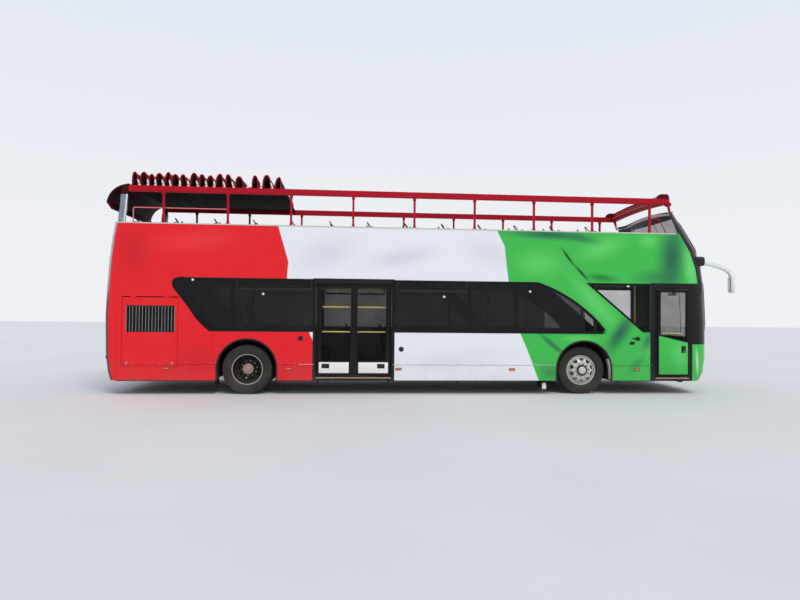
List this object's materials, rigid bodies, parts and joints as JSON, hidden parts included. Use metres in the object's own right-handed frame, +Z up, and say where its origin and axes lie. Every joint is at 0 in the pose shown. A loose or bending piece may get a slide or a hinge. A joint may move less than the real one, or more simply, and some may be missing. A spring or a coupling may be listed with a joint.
{
  "type": "open-top double-deck bus",
  "caption": "Open-top double-deck sightseeing bus with top rails, folded canvas roof, gliding doors, steered front wheels and twin rear wheels.",
  "frame": {"origin": "on the ground, midway between the rear face and the mirror tips, on the centre line", "axes": "+X forward, +Y to the bus's left, +Z up"},
  "size_m": [12.58, 2.59, 4.2877],
  "materials": {
    "body_red": "gloss",
    "body_white": "gloss",
    "rail_red": "satin",
    "frame_dark": "satin",
    "green": "gloss",
    "glass_dark": "tinted",
    "glass_clear": "clear",
    "canvas": "matt",
    "seat_plastic": "matt",
    "floor_grey": "matt",
    "yellow": "gloss",
    "white_plastic": "gloss",
    "lamp_clear": "clear",
    "lamp_red": "clear",
    "iron": "rough",
    "steel": "satin",
    "rim_silver": "satin",
    "rim_dark": "satin",
    "tyre": "matt",
    "aluminium": "satin",
    "black_plastic": "matt",
    "seat_fabric": "woven"
  },
  "bodies": {
    "bus_body": {"underframe": "frame_dark", "lower_floor": "floor_grey", "rear_platform": "floor_grey", "wheel_housings": "frame_dark", "right_side": "body_red", "left_side": "body_red", "upper_sides": "body_white", "front_mask": "green", "rear_panel": "body_red", "windscreens": "glass_clear", "side_glass": "glass_dark", "upper_floor": "floor_grey", "stairs": "aluminium", "stairwell_guard": "rail_red", "cab_partition": "black_plastic", "top_rails": "rail_red", "rear_hood": "rail_red", "folded_canvas": "canvas", "upper_seats": "seat_plastic", "lower_seats": "seat_plastic", "driver_seat": "seat_fabric", "dashboard": "black_plastic", "handrails": "yellow", "mirrors": "white_plastic", "headlamps": "lamp_clear", "tail_lamps": "lamp_red", "engine": "iron", "front_axle": "iron", "rear_axle": "iron"},
    "steering_wheel": {"steering_wheel": "black_plastic"},
    "left_knuckle": {"front_left_knuckle": "iron"},
    "right_knuckle": {"front_right_knuckle": "iron"},
    "track_rod": {"track_rod": "steel"},
    "front_left_wheel": {"front_left_tyre": "tyre", "front_left_rim": "rim_silver"},
    "front_right_wheel": {"front_right_tyre": "tyre", "front_right_rim": "rim_silver"},
    "rear_left_wheels": {"rear_left_tyres": "tyre", "rear_left_rims": "rim_dark"},
    "rear_right_wheels": {"rear_right_tyres": "tyre", "rear_right_rims": "rim_dark"},
    "front_door": {"front_door": "green", "front_door_glass": "glass_dark"},
    "front_door_arm": {"front_door_arm": "black_plastic"},
    "mid_door_rear": {"mid_door_rear": "body_white", "mid_door_rear_glass": "glass_dark"},
    "mid_door_rear_arm": {"mid_door_rear_arm": "black_plastic"},
    "mid_door_front": {"mid_door_front": "body_white", "mid_door_front_glass": "glass_dark"},
    "mid_door_front_arm": {"mid_door_front_arm": "black_plastic"},
    "engine_lid": {"engine_lid": "body_red"},
    "engine_flap": {"engine_flap": "body_red"}
  },
  "joints": [
    {"name": "steer_left", "type": "hinge", "parent": "bus_body", "child": "left_knuckle", "pos_m": [3.06, 0.8845, 0.479], "axis": [0, 0, 1], "range_deg": [-40, 40]},
    {"name": "steer_right", "type": "hinge", "parent": "bus_body", "child": "right_knuckle", "pos_m": [3.06, -0.8845, 0.479], "axis": [0, 0, 1], "range_deg": [-40, 40]},
    {"name": "track_rod_swing", "type": "hinge", "parent": "left_knuckle", "child": "track_rod", "pos_m": [2.86, 0.8845, 0.36], "axis": [0, 0, 1], "range_deg": [-40, 40]},
    {"name": "steering_wheel_turn", "type": "hinge", "parent": "bus_body", "child": "steering_wheel", "pos_m": [5.27, 0.64, 1.09], "axis": [-0.5736, 0, 0.8192], "range_deg": [-640, 640]},
    {"name": "front_left_roll", "type": "hinge", "parent": "left_knuckle", "child": "front_left_wheel", "pos_m": [3.06, 1.0595, 0.479], "axis": [0, 1, 0], "continuous": true},
    {"name": "front_right_roll", "type": "hinge", "parent": "right_knuckle", "child": "front_right_wheel", "pos_m": [3.06, -1.0595, 0.479], "axis": [0, 1, 0], "continuous": true},
    {"name": "rear_left_roll", "type": "hinge", "parent": "bus_body", "child": "rear_left_wheels", "pos_m": [-3.59, 0.9305, 0.479], "axis": [0, 1, 0], "continuous": true},
    {"name": "rear_right_roll", "type": "hinge", "parent": "bus_body", "child": "rear_right_wheels", "pos_m": [-3.59, -0.9305, 0.479], "axis": [0, 1, 0], "continuous": true},
    {"name": "front_door_arm_turn", "type": "hinge", "parent": "bus_body", "child": "front_door_arm", "pos_m": [4.605, -1.255, 1.25], "axis": [0, 0, 1], "range_deg": [0, 90]},
    {"name": "front_door_leaf_turn", "type": "hinge", "parent": "front_door_arm", "child": "front_door", "pos_m": [4.957, -1.255, 1.25], "axis": [0, 0, 1], "range_deg": [-180, 0]},
    {"name": "mid_door_rear_arm_turn", "type": "hinge", "parent": "bus_body", "child": "mid_door_rear_arm", "pos_m": [-2.25, -1.255, 1.25], "axis": [0, 0, 1], "range_deg": [0, 90]},
    {"name": "mid_door_rear_leaf_turn", "type": "hinge", "parent": "mid_door_rear_arm", "child": "mid_door_rear", "pos_m": [-1.8855, -1.255, 1.25], "axis": [0, 0, 1], "range_deg": [-180, 0]},
    {"name": "mid_door_front_arm_turn", "type": "hinge", "parent": "bus_body", "child": "mid_door_front_arm", "pos_m": [-0.83, -1.255, 1.25], "axis": [0, 0, -1], "range_deg": [0, 90]},
    {"name": "mid_door_front_leaf_turn", "type": "hinge", "parent": "mid_door_front_arm", "child": "mid_door_front", "pos_m": [-1.1945, -1.255, 1.25], "axis": [0, 0, -1], "range_deg": [-180, 0]},
    {"name": "engine_lid_lift", "type": "hinge", "parent": "bus_body", "child": "engine_lid", "pos_m": [-6.27575, 0, 1.861], "axis": [0, 1, 0], "range_deg": [0, 80]},
    {"name": "engine_flap_lift", "type": "hinge", "parent": "bus_body", "child": "engine_flap", "pos_m": [-5.93, -1.275, 1.861], "axis": [-1, 0, 0], "range_deg": [0, 80]}
  ],
  "couplings": [
    {"joint": "steer_right", "follows": "steer_left", "ratio": 1},
    {"joint": "track_rod_swing", "follows": "steer_left", "ratio": -1},
    {"joint": "steering_wheel_turn", "follows": "steer_left", "ratio": 16},
    {"joint": "front_door_leaf_turn", "follows": "front_door_arm_turn", "ratio": -2},
    {"joint": "mid_door_rear_leaf_turn", "follows": "mid_door_rear_arm_turn", "ratio": -2},
    {"joint": "mid_door_front_leaf_turn", "follows": "mid_door_front_arm_turn", "ratio": -2}
  ]
}
